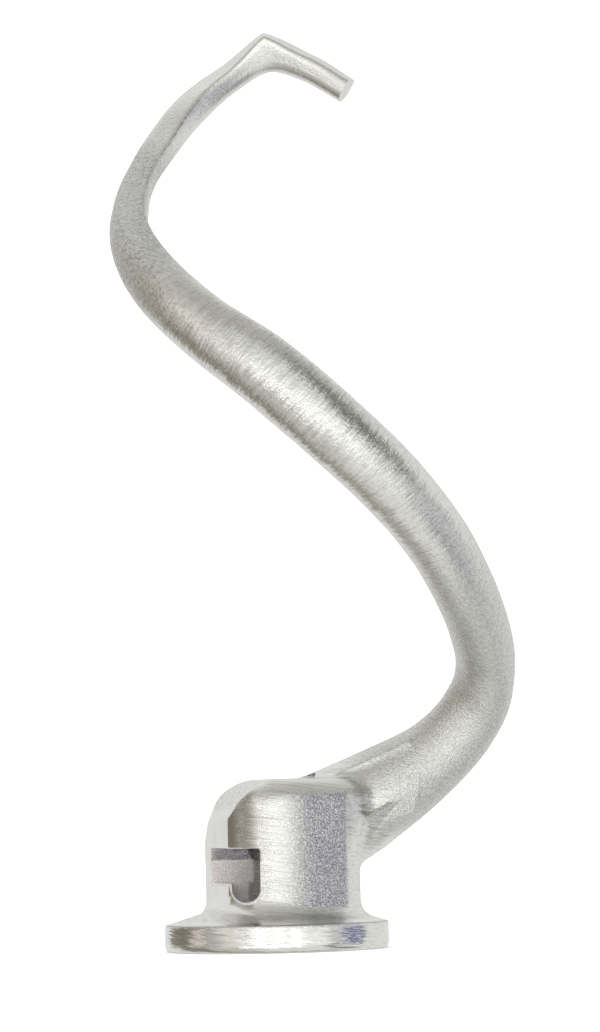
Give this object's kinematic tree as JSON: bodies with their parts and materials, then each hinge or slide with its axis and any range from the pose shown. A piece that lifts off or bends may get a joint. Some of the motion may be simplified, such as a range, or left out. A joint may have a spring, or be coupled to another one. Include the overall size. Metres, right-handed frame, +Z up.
{
  "type": "spiral dough hook",
  "caption": "Cast spiral arm on a flanged hub with a blind drive bore and a bayonet slot, turning a little over half a turn to a short down-turned toe.",
  "frame": {"origin": "centre of the flange's flat rest face, at the mouth of the drive bore", "axes": "+Z up the bore axis towards the toe, +X towards the side the arm leaves from, -Y to the front that the arm crosses"},
  "size_m": [0.0858, 0.0757, 0.2031],
  "materials": {
    "cast_aluminium": "burnished casting with a fine grain"
  },
  "bodies": {
    "root": {"flange": "cast_aluminium", "lower_collar": "cast_aluminium", "slot_collar": "cast_aluminium", "crown": "cast_aluminium", "neck": "cast_aluminium", "lower_bend": "cast_aluminium", "lower_sweep": "cast_aluminium", "upper_sweep": "cast_aluminium", "upper_bend": "cast_aluminium", "tail": "cast_aluminium", "toe": "cast_aluminium"}
  },
  "joints": []
}
